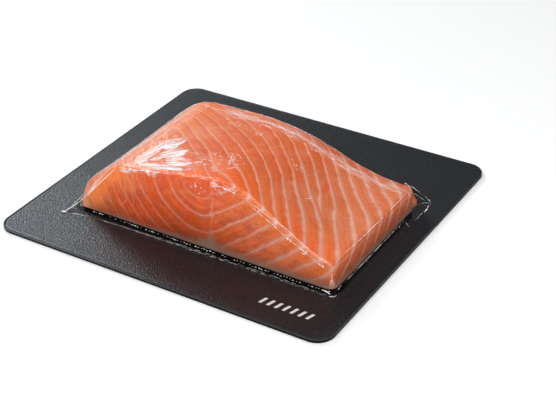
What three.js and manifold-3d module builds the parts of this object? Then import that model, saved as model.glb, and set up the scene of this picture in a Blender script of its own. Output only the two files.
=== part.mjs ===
// Skin pack of salmon: a thick piece of fillet on a flat black board, held down by one clear film.
// Millimetres, +Z up. +X runs along the board's long side, +Y towards its back edge, and the origin is
// the middle of the board's underside. The fillet is cut square at the front and at the right. It is
// thickest along its front cut and thins out to a tip at the front left and to a low edge at the right.
import * as THREE from 'three';
import { ConvexGeometry } from 'three/addons/geometries/ConvexGeometry.js';
import { mergeVertices } from 'three/addons/utils/BufferGeometryUtils.js';
import Module from 'manifold-3d';

const wasm = await Module();
wasm.setup();

// Driving dimensions
const board = { width: 187, depth: 170, thickness: 2.2, corner: 9, edgeRound: 0.7, cornerSteps: 8 };
const gap = 0.3;                       // clearance between two pieces that touch
const footprint = {
  left: -69, right: 78, front: -50.3, back: 35,
  corner: { frontLeft: 3, frontRight: 4, backRight: 7, backLeft: 17 },
};
const shoulder = { left: 5, right: 3.4, front: 2.6, back: 8 };   // rounding along the top edges
const foot = { inset: 1.2, height: 1.2, splay: 0.8 };   // rounded bottom edge, below a slightly splayed side
const tipThickness = 3;                // least height of the fillet's side, at the thin tip
const profile = {                      // each pair: at the front cut, and at the back
  flankFoot: [2.5, 11],                // height where the steep left flank starts
  flankSlope: [1.17, 0.82],
  flankRun: 7,                         // depth behind the cut over which the flank fills out
  flankSag: 1.4,                       // the flank dips between its two ends
  crown: [38.3, 29.5],                 // thickness of the long flat top
  crownSlope: [0.17, 0.01],
  fallStart: [39, 16.5],               // where the slope down to the thin side passes the next heights
  fallHeight: [34.8, 26.8],
  fallSlope: [-0.63, -0.34],
  thinSide: [14.2, 12.4],
  blend: 6.3,                          // roundness where two of these slopes meet
  crownBlend: 8.7,
};
const film = { thickness: 0.3, coveHeight: 3.2, coveReach: 3.4, weld: 2.2 };
const webs = [                         // film drawn out to a point, from a corner of the fillet
  { tip: [-72.5, -58.5], root: [-58, -44], height: 9, spread: 8 },
  { tip: [83, 41], root: [66, 23], height: 9, spread: 11 },
  { tip: [65, 51], root: [60, 26], height: 9, spread: 10 },
];
const gridSteps = { x: 32, y: 20 };

const deck = board.thickness + gap;    // height that the fillet and the film rest at

const mix = (a, b, t) => a + (b - a) * t;
const clamp01 = (t) => Math.min(1, Math.max(0, t));
const smoothStep = (t) => clamp01(t) ** 2 * (3 - 2 * clamp01(t));
const smoothMin = (a, b, k) => Math.min(a, b) - (k / 4) * clamp01(1 - Math.abs(a - b) / k) ** 2;
const smoothMax = (a, b, k) => -smoothMin(-a, -b, k);

// Thickness of the fillet before its top edges are rounded.
function thickness(x, y) {
  const t = clamp01((y - footprint.front) / (footprint.back - footprint.front));
  const at = (pair, s = t) => mix(pair[0], pair[1], s);
  const behindCut = smoothStep((y - footprint.front) / profile.flankRun);
  const flank = at(profile.flankFoot, behindCut) - profile.flankSag * 4 * t * (1 - t)
    + at(profile.flankSlope, behindCut) * (x - footprint.left);
  const crown = at(profile.crown) + at(profile.crownSlope) * x;
  const fall = at(profile.fallHeight) + at(profile.fallSlope) * (x - at(profile.fallStart));
  const right = smoothMax(fall, at(profile.thinSide), profile.blend);
  return smoothMin(smoothMin(crown, right, profile.crownBlend), flank, profile.blend);
}

// The corner of the footprint that a point of the plan belongs to. Its from vector runs from the centre
// of the corner's rounding to the point, and both of its numbers grow towards the outside.
function cornerAt(x, y) {
  const { left, right, front, back, corner } = footprint;
  const outX = x > (left + right) / 2 ? 1 : -1;
  const outY = y > (front + back) / 2 ? 1 : -1;
  const radius = corner[(outY > 0 ? 'back' : 'front') + (outX > 0 ? 'Right' : 'Left')];
  const centreX = (outX > 0 ? right : left) - outX * radius;
  const centreY = (outY > 0 ? back : front) - outY * radius;
  const from = new THREE.Vector2((x - centreX) * outX, (y - centreY) * outY);
  return { outX, outY, radius, centreX, centreY, from };
}

// Moves a point of the square plan into the rounded footprint, and gives its outward direction there.
function placeInPlan(x, y) {
  const { outX, outY, centreX, centreY, from } = cornerAt(x, y);
  if (from.x > 0 && from.y > 0) {
    const out = from.clone().normalize();
    const reach = Math.max(from.x, from.y);
    return {
      x: centreX + outX * out.x * reach,
      y: centreY + outY * out.y * reach,
      out: new THREE.Vector2(outX * out.x, outY * out.y),
    };
  }
  return { x, y, out: from.x > from.y ? new THREE.Vector2(outX, 0) : new THREE.Vector2(0, outY) };
}

// How far the rounding of the top edges takes the surface down at a point of the rounded footprint.
function shoulderDrop(x, y) {
  const { outX, outY, radius, from } = cornerAt(x, y);
  const outside = new THREE.Vector2(Math.max(0, from.x), Math.max(0, from.y));
  const inward = radius - outside.length() - Math.min(0, Math.max(from.x, from.y));
  const share = outside.length() > 0 ? outside.angle() / (Math.PI / 2) : Number(from.y > from.x);
  const round = mix(outX > 0 ? shoulder.right : shoulder.left, outY > 0 ? shoulder.back : shoulder.front, share);
  const reach = clamp01(1 - inward / round);
  return round * (1 - Math.sqrt(1 - reach * reach));
}

// Grid lines from one side to the other: close together over the rounded edges, even in between.
function gridLines(from, to, roundFrom, roundTo, steps) {
  const shares = [0, 0.12, 0.45, 1.05];
  const head = shares.map((share) => from + share * roundFrom);
  const tail = shares.map((share) => to - share * roundTo).reverse();
  const between = steps + 2 - head.length - tail.length;
  const middle = Array.from({ length: between - 1 }, (_, i) => mix(head.at(-1), tail[0], (i + 1) / between));
  return [...head, ...middle, ...tail];
}

// A closed solid: the fillet's top moved out by a distance, then rings from its rim down to a flat base.
// Each ring says how far out of the footprint it lies and its height, given the rim's height there.
function filletSolid(distance, rings) {
  const xLines = gridLines(footprint.left, footprint.right, shoulder.left, shoulder.right, gridSteps.x);
  const yLines = gridLines(footprint.front, footprint.back, shoulder.front, shoulder.back, gridSteps.y);
  const columns = xLines.length;
  const rows = yLines.length;
  const points = [];
  const faces = [];
  const topAt = (x, y) => {
    const place = placeInPlan(x, y);
    const height = thickness(place.x, place.y) - shoulderDrop(place.x, place.y);
    return new THREE.Vector3(place.x, place.y, Math.max(tipThickness, height));
  };
  yLines.forEach((y, j) => xLines.forEach((x, i) => {
    const onRim = i === 0 || j === 0 || i === columns - 1 || j === rows - 1;
    const step = 0.1;
    const alongX = topAt(x + step, y).sub(topAt(x - step, y));
    const alongY = topAt(x, y + step).sub(topAt(x, y - step));
    const { out } = placeInPlan(x, y);
    const normal = onRim ? new THREE.Vector3(out.x, out.y, 0) : alongX.cross(alongY).normalize();
    points.push(topAt(x, y).addScaledVector(normal, distance));
  }));
  for (let j = 0; j < rows - 1; j += 1) {
    for (let i = 0; i < columns - 1; i += 1) {
      const a = j * columns + i;
      faces.push([a, a + 1, a + columns + 1], [a, a + columns + 1, a + columns]);
    }
  }
  const rim = [
    ...xLines.slice(0, -1).map((_, i) => [i, 0]),
    ...yLines.slice(0, -1).map((_, j) => [columns - 1, j]),
    ...xLines.slice(1).map((_, i) => [columns - 1 - i, rows - 1]),
    ...yLines.slice(1).map((_, j) => [0, rows - 1 - j]),
  ];
  let above = rim.map(([i, j]) => j * columns + i);
  for (const ring of rings) {
    const below = rim.map(([i, j]) => {
      const { x, y, out } = placeInPlan(xLines[i], yLines[j]);
      const rimHeight = topAt(xLines[i], yLines[j]).z;
      const { beyond, height } = ring(rimHeight);
      points.push(new THREE.Vector3(x + out.x * beyond, y + out.y * beyond, height));
      return points.length - 1;
    });
    above.forEach((a, k) => {
      const next = (k + 1) % above.length;
      faces.push([a, below[k], below[next]], [a, below[next], above[next]]);
    });
    above = below;
  }
  points.push(new THREE.Vector3((footprint.left + footprint.right) / 2,
    (footprint.front + footprint.back) / 2, points.at(-1).z));
  above.forEach((a, k) => faces.push([a, points.length - 1, above[(k + 1) % above.length]]));
  return closedMesh(points, faces);
}

function closedMesh(points, faces) {
  const geometry = new THREE.BufferGeometry();
  geometry.setAttribute('position', new THREE.Float32BufferAttribute(points.flatMap((p) => [p.x, p.y, p.z]), 3));
  geometry.setIndex(faces.flat());
  return geometry;
}

function toManifold(geometry) {
  const bare = geometry.clone();
  bare.deleteAttribute('normal');
  bare.deleteAttribute('uv');
  const merged = mergeVertices(bare);
  return new wasm.Manifold(new wasm.Mesh({
    numProp: 3,
    vertProperties: new Float32Array(merged.attributes.position.array),
    triVerts: new Uint32Array(merged.index.array),
  }));
}

function fromManifold(solid) {
  const { vertProperties, triVerts } = solid.getMesh();
  const geometry = new THREE.BufferGeometry();
  geometry.setAttribute('position', new THREE.BufferAttribute(vertProperties, 3));
  geometry.setIndex(new THREE.BufferAttribute(triVerts, 1));
  return geometry;
}

// The board is its rounded outline, stacked up in rings that round both of its edges.
function boardGeometry() {
  const { width, depth, thickness: height, corner, edgeRound, cornerSteps } = board;
  const outline = (inset) => {
    const radius = corner - inset;
    return [[1, -1], [1, 1], [-1, 1], [-1, -1]].flatMap(([sx, sy], quarter) => (
      Array.from({ length: cornerSteps + 1 }, (_, i) => {
        const angle = (Math.PI / 2) * (quarter - 1 + i / cornerSteps);
        return new THREE.Vector2(sx * (width / 2 - corner) + radius * Math.cos(angle),
          sy * (depth / 2 - corner) + radius * Math.sin(angle));
      })));
  };
  const arc = [0, 30, 60, 90].map((degrees) => THREE.MathUtils.degToRad(degrees));
  const levels = [
    ...arc.map((a) => [edgeRound * (1 - Math.sin(a)), edgeRound * (1 - Math.cos(a))]),
    ...arc.map((a) => [edgeRound * (1 - Math.cos(a)), height - edgeRound * (1 - Math.sin(a))]),
  ];
  const points = [];
  const faces = [];
  levels.forEach(([inset, z]) => outline(inset).forEach((p) => points.push(new THREE.Vector3(p.x, p.y, z))));
  const around = points.length / levels.length;
  for (let level = 0; level < levels.length - 1; level += 1) {
    for (let k = 0; k < around; k += 1) {
      const a = level * around + k;
      const b = level * around + ((k + 1) % around);
      faces.push([a, b, b + around], [a, b + around, a + around]);
    }
  }
  const bottom = points.push(new THREE.Vector3(0, 0, 0)) - 1;
  const top = points.push(new THREE.Vector3(0, 0, height)) - 1;
  const lastLevel = (levels.length - 1) * around;
  for (let k = 0; k < around; k += 1) {
    const next = (k + 1) % around;
    faces.push([k, bottom, next], [lastLevel + k, lastLevel + next, top]);
  }
  return closedMesh(points, faces);
}

const filletGeometry = () => filletSolid(0, [
  (rim) => ({ beyond: 0.5 * foot.splay, height: mix(foot.height, rim, 0.5) }),
  () => ({ beyond: foot.splay, height: foot.height }),
  () => ({ beyond: foot.splay - 0.3 * foot.inset, height: 0.3 * foot.height }),
  () => ({ beyond: foot.splay - foot.inset, height: 0 }),
]);

// The rings of the cove: s runs from 1, where the film leaves the fillet, to 0 on the board.
const coveRing = (s, distance, lift) => (rim) => ({
  beyond: distance + foot.splay + film.coveReach * (1 - s) ** 2,
  height: s * Math.min(film.coveHeight, 0.7 * rim) + lift,
});

const tent = ({ tip, root, height, spread }, lowerBy) => {
  const along = new THREE.Vector2(tip[0] - root[0], tip[1] - root[1]).normalize();
  const side = new THREE.Vector2(-along.y, along.x).multiplyScalar(spread);
  const at = (x, y, z) => new THREE.Vector3(x, y, z - lowerBy);
  return new ConvexGeometry([
    at(tip[0], tip[1], 0), at(tip[0] - along.x, tip[1] - along.y, film.thickness),
    at(root[0] + side.x, root[1] + side.y, 0), at(root[0] - side.x, root[1] - side.y, 0),
    at(root[0], root[1], height),
  ]);
};

// The film follows the fillet with a small gap, leaves it in a cove at the foot, and is welded flat
// around that. It is open underneath.
function filmGeometry() {
  const outside = gap + film.thickness;
  const coveSteps = [1, 0.66, 0.36, 0.12, 0];
  const welded = outside + foot.splay + film.coveReach + film.weld;
  const outer = filletSolid(outside, [
    ...coveSteps.map((s) => coveRing(s, outside, film.thickness)),
    () => ({ beyond: welded, height: film.thickness }),
    () => ({ beyond: welded, height: 0 }),
  ]);
  const inner = filletSolid(gap, [
    ...coveSteps.map((s) => coveRing(s, gap, 0)),
    () => ({ beyond: gap + foot.splay + film.coveReach, height: -1 }),
  ]);
  const join = (solids) => solids.reduce((whole, solid) => whole.add(solid));
  const skin = join([toManifold(outer), ...webs.map((web) => toManifold(tent(web, 0)))]);
  const hollow = join([toManifold(inner), ...webs.map((web) => toManifold(tent(web, 1.2 * film.thickness)))]);
  return fromManifold(skin.subtract(hollow));
}

function piece(name, geometry, finish, height = 0) {
  const mesh = new THREE.Mesh(geometry, new THREE.MeshStandardMaterial(finish));
  mesh.name = name;
  mesh.position.z = height;
  return mesh;
}

const pack = new THREE.Group();
pack.name = 'salmon_skin_pack';
pack.add(
  piece('board', boardGeometry(), { color: 0x1d1e20, roughness: 0.55, metalness: 0 }),
  piece('fillet', filletGeometry(), { color: 0xe8622f, roughness: 0.45, metalness: 0 }, deck),
  piece('film', filmGeometry(), { color: 0xf2efec, roughness: 0.08, metalness: 0 }, deck),
);

export default pack;
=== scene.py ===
# Skin pack of salmon: a thick cut of fillet on a flat black board, held down by one clear film.
# Sizes in the dictionaries are millimetres, and x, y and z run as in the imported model.
import math
from functools import reduce
from operator import add
import bpy
import numpy as np
from mathutils import Matrix, Vector


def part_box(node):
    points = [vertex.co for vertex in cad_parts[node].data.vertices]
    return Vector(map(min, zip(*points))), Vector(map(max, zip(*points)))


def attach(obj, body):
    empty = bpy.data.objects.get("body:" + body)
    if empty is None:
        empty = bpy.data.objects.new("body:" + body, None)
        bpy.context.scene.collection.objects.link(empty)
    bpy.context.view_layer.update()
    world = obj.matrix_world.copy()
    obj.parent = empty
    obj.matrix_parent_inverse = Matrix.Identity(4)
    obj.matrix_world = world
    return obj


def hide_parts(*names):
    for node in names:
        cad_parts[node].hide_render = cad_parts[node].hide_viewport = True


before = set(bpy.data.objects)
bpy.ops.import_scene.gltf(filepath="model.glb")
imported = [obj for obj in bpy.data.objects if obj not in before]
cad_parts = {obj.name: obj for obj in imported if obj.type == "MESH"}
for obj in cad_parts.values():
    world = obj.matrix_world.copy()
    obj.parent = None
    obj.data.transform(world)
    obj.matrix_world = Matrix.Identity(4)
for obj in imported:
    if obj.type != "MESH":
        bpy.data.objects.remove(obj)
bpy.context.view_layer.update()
mm = 0.001
scene = bpy.context.scene
print("frame loaded:", ", ".join(sorted(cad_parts)))


class Wire:                                    # one socket of a node tree, written in sums
    def __init__(self, tree, socket):
        self.tree = tree
        self.socket = socket

    def make(self, kind, settings=None, values=None, out=0):
        node = self.tree.nodes.new(kind)
        for name, value in (settings or {}).items():
            setattr(node, name, value)
        for name, value in (values or {}).items():
            if isinstance(value, Wire):
                self.tree.links.new(value.socket, node.inputs[name])
            else:
                node.inputs[name].default_value = value
        return Wire(self.tree, node.outputs[out])

    def sum(self, operation, *others):
        values = {index: value for index, value in enumerate((self, *others))}
        return self.make("ShaderNodeMath", {"operation": operation}, values)

    def __add__(self, other):
        return self.sum("ADD", other)

    __radd__ = __add__

    def __sub__(self, other):
        return self.sum("SUBTRACT", other)

    def __rsub__(self, other):
        return (self * -1) + other

    def __mul__(self, other):
        return self.sum("MULTIPLY", other)

    __rmul__ = __mul__

    def __truediv__(self, other):
        return self.sum("DIVIDE", other)

    def __pow__(self, other):
        return self.sum("POWER", other)

    def __abs__(self):
        return self.sum("ABSOLUTE")

    def most(self, other):
        return self.sum("MAXIMUM", other)

    def least(self, other):
        return self.sum("MINIMUM", other)

    def vector(self, operation, other):
        return self.make("ShaderNodeVectorMath", {"operation": operation}, {0: self, 1: other})

    def scaled(self, factor):                  # a vector times a number
        return self.make("ShaderNodeVectorMath", {"operation": "SCALE"}, {0: self, "Scale": factor})

    def parts(self):                           # x, y and z of a vector
        return [self.make("ShaderNodeSeparateXYZ", None, {0: self}, axis) for axis in range(3)]

    def step(self, start, end):                # 0 before start, 1 after end, and smooth in between
        limits = {"Value": self, "From Min": start, "From Max": end}
        return self.make("ShaderNodeMapRange", {"interpolation_type": "SMOOTHSTEP"}, limits)

    def between(self, start, full, fade, end):  # 0, up to 1, and back down to 0
        return self.step(start, full) * (1 - self.step(fade, end))

    def choose(self, low, high):               # this share of high, and the rest low
        return (high - low) * self + low

    def blend(self, low, high):                # the same for two colours
        settings = {"data_type": "RGBA", "clamp_factor": True}
        return self.make("ShaderNodeMix", settings, {0: self, 6: low, 7: high}, 2)

    def noise(self, size, detail=2.0, roughness=0.5):  # around 0, with millimetres as the place
        values = {"Vector": self, "Scale": 1 / size, "Detail": detail, "Roughness": roughness}
        return self.make("ShaderNodeTexNoise", {"noise_dimensions": "3D"}, values) - 0.5

    def attribute(self, name):                 # a number stored on the mesh
        return self.make("ShaderNodeAttribute", {"attribute_name": name}, None, 2)


def newMaterial(name):
    material = bpy.data.materials.new(name)
    material.use_nodes = True
    tree = material.node_tree
    tree.nodes.clear()
    texture = tree.nodes.new("ShaderNodeTexCoord")
    inMetres = Wire(tree, texture.outputs["Object"])
    return material, inMetres.vector("MULTIPLY", (1 / mm, 1 / mm, 1 / mm))


def finishMaterial(material, surface):
    out = surface.tree.nodes.new("ShaderNodeOutputMaterial")
    surface.tree.links.new(surface.socket, out.inputs["Surface"])
    return material


def finishPrincipled(material, place, values):
    return finishMaterial(material, place.make("ShaderNodeBsdfPrincipled", None, values))


def joined(x, y, z):                           # a vector from three sums
    wire = next(value for value in (x, y, z) if isinstance(value, Wire))
    return wire.make("ShaderNodeCombineXYZ", None, {0: x, 1: y, 2: z})


def arcTan(a, b):
    return a.sum("ARCTAN2", b)


def anyOf(masks):                              # the largest of several masks
    return reduce(Wire.most, masks)


def fromOval(place, centre, size):             # 0 in the middle of an oval, and 1 on its edge
    return reduce(add, (((p - c) / s) ** 2 for p, c, s in zip(place, centre, size)))


def rgb(red, green, blue):                     # a screen colour, 0 to 255, as a shader colour
    def linear(v):
        return v / 12.92 if v <= 0.04045 else ((v + 0.055) / 1.055) ** 2.4
    return tuple(linear(v / 255) for v in (red, green, blue)) + (1.0,)


def newTree(name, inputs):                     # geometry nodes, with a socket type for each named input
    tree = bpy.data.node_groups.new(name, "GeometryNodeTree")
    tree.interface.new_socket("Geometry", in_out="OUTPUT", socket_type="NodeSocketGeometry")
    for label, kind in {"Geometry": "Geometry", **inputs}.items():
        tree.interface.new_socket(label, in_out="INPUT", socket_type="NodeSocket" + kind)
    group = tree.nodes.new("NodeGroupInput")
    return tree, {socket.name: Wire(tree, socket) for socket in group.outputs if socket.name}


def finishTree(shape, material):
    real = shape.make("GeometryNodeRealizeInstances", None, {0: shape})
    final = shape.make("GeometryNodeSetMaterial", None, {"Geometry": real, "Material": material})
    out = shape.tree.nodes.new("NodeGroupOutput")
    shape.tree.links.new(final.socket, out.inputs[0])


def runTree(tree, mesh, values):               # the plain mesh that a tree makes of another
    source = bpy.data.objects.new("source", mesh)
    scene.collection.objects.link(source)
    modifier = source.modifiers.new("nodes", "NODES")
    modifier.node_group = tree
    for item in tree.interface.items_tree:
        if item.in_out == "INPUT" and item.name in values:
            modifier[item.identifier] = values[item.name]
    evaluated = source.evaluated_get(bpy.context.evaluated_depsgraph_get())
    result = bpy.data.meshes.new_from_object(evaluated)
    bpy.data.objects.remove(source)
    return result


def addObject(name, mesh):
    mesh.name = name
    piece = bpy.data.objects.new(name, mesh)
    scene.collection.objects.link(piece)
    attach(piece, "root")
    return piece


def addPiece(name, points, faces, material):
    mesh = bpy.data.meshes.new(name)
    mesh.from_pydata((np.asarray(points) * mm).tolist(), [], faces)
    mesh.polygons.foreach_set("use_smooth", [True] * len(mesh.polygons))
    mesh.materials.append(material)
    mesh.update()
    return addObject(name, mesh)


def setAttribute(mesh, name, values):
    attribute = mesh.attributes.new(name, "FLOAT", "POINT")
    attribute.data.foreach_set("value", np.asarray(values, np.float32))


def shiftAlongNormals(piece, distance):        # in millimetres, one for each vertex
    count = len(piece.data.vertices)
    points = np.zeros(count * 3, np.float32)
    normals = np.zeros(count * 3, np.float32)
    piece.data.vertices.foreach_get("co", points)
    piece.data.vertex_normals.foreach_get("vector", normals)
    points = points.reshape(-1, 3) + normals.reshape(-1, 3) * (distance * mm)[:, None]
    piece.data.vertices.foreach_set("co", points.ravel())
    piece.data.update()


def mix(a, b, t):
    return a + (b - a) * t


def smoothStep(t):
    t = np.clip(t, 0, 1)
    return t * t * (3 - 2 * t)


def smoothMin(a, b, k):
    return np.minimum(a, b) - k / 4 * np.clip(1 - np.abs(a - b) / k, 0, 1) ** 2


def smoothMax(a, b, k):
    return -smoothMin(-a, -b, k)


def ripple(points, size, seed, waves=9):       # smooth unevenness, mostly between -1 and 1
    random = np.random.default_rng(seed)
    total = np.zeros(len(points))
    for _ in range(waves):
        direction = random.normal(size=3)
        direction *= 2 * math.pi / size / np.linalg.norm(direction) * random.uniform(0.6, 1.5)
        total += np.sin(points @ direction + random.uniform(0, 2 * math.pi))
    return total / math.sqrt(waves)


def ripples(points, parts):                    # several of them: size, seed and height
    return sum(ripple(points, size, seed) * height for size, seed, height in parts)


def gridFaces(index):                          # the faces between the points of a grid
    return np.stack([index[:-1, :-1], index[:-1, 1:], index[1:, 1:], index[1:, :-1]], -1).reshape(-1, 4)


fillet = {                                     # pairs: at the front cut, and at the back
    "splay": 0.8,
    "footInset": 1.2,
    "footHeight": 1.2,
    "tip": 3.0,
    "corners": {(-1, -1): 3, (1, -1): 4, (1, 1): 7, (-1, 1): 17},
    "shoulder": {"left": 5, "right": 3.4, "front": 1.6, "back": 8},
    "flankFoot": (2.5, 11),
    "flankSlope": (1.17, 0.82),
    "flankRun": 7,
    "flankSag": 1.4,
    "crown": (38.3, 29.5),
    "crownSlope": (0.17, 0.01),
    "fallStart": (39, 16.5),
    "fallHeight": (34.8, 26.8),
    "fallSlope": (-0.63, -0.34),
    "thinSide": (14.2, 12.4),
    "blend": 6.3,
    "crownBlend": 8.7,
    "lines": (250, 160),                       # grid lines across and along
    "edgeLines": 14,                           # of those, on each rounded edge
    "sideRings": 34,
    "unevenness": 0.22,
    "bumps": [(30, 4, 0.6), (11, 5, 0.4)],
    "flare": 1.6,                              # how far it is pressed outwards low on the right-back corner
    "flareCentre": (78.5, 33, 3),
    "flareSize": (5, 5, 2.6),
    "underFilm": 0.1,                          # how far its skin lies inside the drawn shape
}
filletLow, filletHigh = (Vector(corner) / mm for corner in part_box("fillet"))
left, right = filletLow.x + fillet["splay"], filletHigh.x - fillet["splay"]
front, back = filletLow.y + fillet["splay"], filletHigh.y - fillet["splay"]
deck = filletLow.z                             # the fillet's base
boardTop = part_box("board")[1].z / mm


def thickness(x, y):                           # before the top edges are rounded
    f = fillet
    t = np.clip((y - front) / (back - front), 0, 1)
    behindCut = smoothStep((y - front) / f["flankRun"])
    flank = mix(*f["flankFoot"], behindCut) - f["flankSag"] * 4 * t * (1 - t)
    flank = flank + mix(*f["flankSlope"], behindCut) * (x - left)
    crown = mix(*f["crown"], t) + mix(*f["crownSlope"], t) * x
    fall = mix(*f["fallHeight"], t) + mix(*f["fallSlope"], t) * (x - mix(*f["fallStart"], t))
    thin = smoothMax(fall, mix(*f["thinSide"], t), f["blend"])
    return smoothMin(smoothMin(crown, thin, f["crownBlend"]), flank, f["blend"])


def cornerAt(x, y):                            # the rounded corner each point belongs to
    outX = np.where(x > (left + right) / 2, 1, -1)
    outY = np.where(y > (front + back) / 2, 1, -1)
    radius = np.zeros_like(x)
    for (sideX, sideY), size in fillet["corners"].items():
        radius = np.where((outX == sideX) & (outY == sideY), size, radius)
    centreX = np.where(outX > 0, right, left) - outX * radius
    centreY = np.where(outY > 0, back, front) - outY * radius
    return outX, outY, radius, centreX, centreY, (x - centreX) * outX, (y - centreY) * outY


def placeInPlan(x, y):                         # a square plan's points moved into the rounded one
    outX, outY, _, centreX, centreY, fromX, fromY = cornerAt(x, y)
    inCorner = (fromX > 0) & (fromY > 0)
    length = np.hypot(fromX, fromY) + 1e-12
    reach = np.maximum(fromX, fromY) / length
    sideways = fromX > fromY
    px = np.where(inCorner, centreX + outX * fromX * reach, x)
    py = np.where(inCorner, centreY + outY * fromY * reach, y)
    nx = np.where(inCorner, outX * fromX / length, np.where(sideways, outX, 0))
    ny = np.where(inCorner, outY * fromY / length, np.where(sideways, 0, outY))
    return px, py, nx, ny


def shoulderDrop(x, y):
    outX, outY, radius, _, _, fromX, fromY = cornerAt(x, y)
    outsideX, outsideY = np.maximum(fromX, 0), np.maximum(fromY, 0)
    outside = np.hypot(outsideX, outsideY)
    inward = radius - outside - np.minimum(0, np.maximum(fromX, fromY))
    share = np.where(outside > 0, np.arctan2(outsideY, outsideX) / (math.pi / 2), fromY > fromX)
    s = fillet["shoulder"]
    turn = mix(np.where(outX > 0, s["right"], s["left"]), np.where(outY > 0, s["back"], s["front"]), share)
    reach = np.clip(1 - inward / turn, 0, 1)
    return turn * (1 - np.sqrt(1 - reach ** 2))


def topAt(x, y):                               # points of the fillet's top, from places in the square plan
    px, py, _, _ = placeInPlan(x, y)
    height = np.maximum(fillet["tip"], thickness(px, py) - shoulderDrop(px, py))
    return np.stack([px, py, height], axis=-1)


def edgeLines(start, end, turnStart, turnEnd, count):  # close together over the rounded edges
    near = np.linspace(0, 1.1, fillet["edgeLines"]) ** 1.6
    head = start + near * turnStart
    tail = (end - near * turnEnd)[::-1]
    middle = np.linspace(head[-1], tail[0], count - 2 * len(near) + 2)[1:-1]
    return np.concatenate([head, middle, tail])


def drapedShell(distance, rings, closed, count=None):
    # the fillet's top moved out by a distance, then rings from its rim downwards
    s = fillet["shoulder"]
    across, along = count or fillet["lines"]
    xs = edgeLines(left, right, s["left"], s["right"], across)
    ys = edgeLines(front, back, s["front"], s["back"], along)
    gx, gy = (g.ravel() for g in np.meshgrid(xs, ys))
    step = 0.05
    slopeX = topAt(gx + step, gy) - topAt(gx - step, gy)
    slopeY = topAt(gx, gy + step) - topAt(gx, gy - step)
    normal = np.cross(slopeX, slopeY)
    normal /= np.linalg.norm(normal, axis=1, keepdims=True) + 1e-12
    _, _, outX, outY = placeInPlan(gx, gy)
    rows, columns = len(ys), len(xs)
    index = np.arange(rows * columns).reshape(rows, columns)
    rim = np.concatenate([index[0, :-1], index[:-1, -1], index[-1, :0:-1], index[:0:-1, 0]])
    normal[rim] = np.stack([outX, outY, 0 * outX], axis=1)[rim]
    points = [topAt(gx, gy) + normal * distance]
    faces = [gridFaces(index)]
    rimX, rimY, rimZ = topAt(gx[rim], gy[rim]).T
    above, total = rim, rows * columns
    for ring in rings:
        beyond, height = ring(rimZ)
        points.append(np.stack([rimX + outX[rim] * beyond, rimY + outY[rim] * beyond,
                                height + 0 * rimX], axis=1))
        below = total + np.arange(len(rim))
        total += len(rim)
        faces.append(np.stack([above, below, np.roll(below, -1), np.roll(above, -1)], axis=1))
        above = below
    points = np.concatenate(points)
    faces = np.concatenate(faces).tolist()
    if closed:
        faces.append(above[::-1].tolist())
    return points, faces


def flare(points):
    x, y, z = points.T
    return fillet["flare"] * np.exp(-fromOval((x, y, z - deck), fillet["flareCentre"], fillet["flareSize"]))


def setRidge(piece, points):                   # how far each point is from the front top edge
    rimZ = topAt(points[:, 0], np.full(len(points), front))[:, 2]
    setAttribute(piece.data, "ridge", np.hypot(points[:, 1] - front, points[:, 2] - deck - rimZ))


flesh = {
    "flakeSpacing": 12.15,                     # along the length, where the cut is level
    "lean": (1.22, 0.965),                     # at the front cut, and deeper in
    "leanDepth": 7.9,
    "level": 14,                               # the height at which the lean counts from
    "slant": 0.626,                            # how far the seams run leftwards for each mm inwards
    "slantGrowth": 0.0061,
    "slantAlong": 0.0002,
    "slantReturn": 1.13,
    "leftCourse": (0.5, 4.34, 1.73, 7.4),      # how the seams left of the middle leave that course
    "firstSeam": 15.2,
    "branch": (60.1, -26.5),                   # where one seam splits in two
    "branchRun": (-6, 30),
    "ringCentre": (6.5, 37.0),                 # of the round flakes at the left, on the front cut
    "ringSpacing": (9.2, 6.0),                 # of the inner rings, and of the outer ones
    "innerRings": 4,
    "ringSlant": 0.0017,
    "forks": [                                 # short seams on the front cut: x and height of both ends
        ((-36.9, 26), (-37.3, 13.5)),
        ((-37.3, 13.5), (-40.6, 9.8)),
        ((-34.0, 26), (-33.6, 11)),
        ((-31.4, 30), (-32.0, 20)),
    ],
    "nodes": [(12.5, 21, 1.5), (12.2, 11, 1.2)],  # pale meeting points: x, height, radius
    "embers": [                                # deeper orange patches: centre and size, with heights
        ((47.5, -2.5, 30), (3.0, 8, 20)),
        ((-4, -50, 32), (3, 4, 3.4)),
        ((-26, -50, 28), (5, 4, 4)),
        ((-17, -50, 22), (7, 4, 4)),
    ],
    "ember": rgb(232, 82, 14),
    "golden": rgb(250, 126, 44),
    "glowing": rgb(255, 144, 62),
    "paintedRidgeGlow": rgb(244, 88, 20),
    "brown": rgb(190, 94, 72),
    "flank": rgb(216, 144, 108),
    "pads": [                                  # pale ones, the same way
        ((77.6, -51, 3.4), (1.7, 2.4, 3.2)),
        ((-66, -49, 3), (5, 8, 4)),
    ],
    "orange": rgb(230, 100, 42),
    "pink": rgb(236, 126, 84),
    "pale": rgb(244, 156, 116),
    "ochre": rgb(218, 118, 66),
    "warm": rgb(255, 108, 22),
    "cut": rgb(242, 88, 22),
    "cutRight": rgb(240, 126, 80),
    "cutTip": rgb(255, 178, 100),
    "side": rgb(206, 92, 42),
    "deep": rgb(190, 62, 16),
    "dark": rgb(140, 62, 34),
    "seamColour": rgb(247, 178, 150),
    "thickSeamColour": rgb(232, 180, 160),
    "knot": rgb(248, 206, 190),
    "pad": rgb(226, 172, 138),
    "membrane": rgb(158, 130, 114),
    "throughLight": (1, 0.13, 0.04, 1),        # painted glow, given off as emission on the cut, in the thin left end
}


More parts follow.
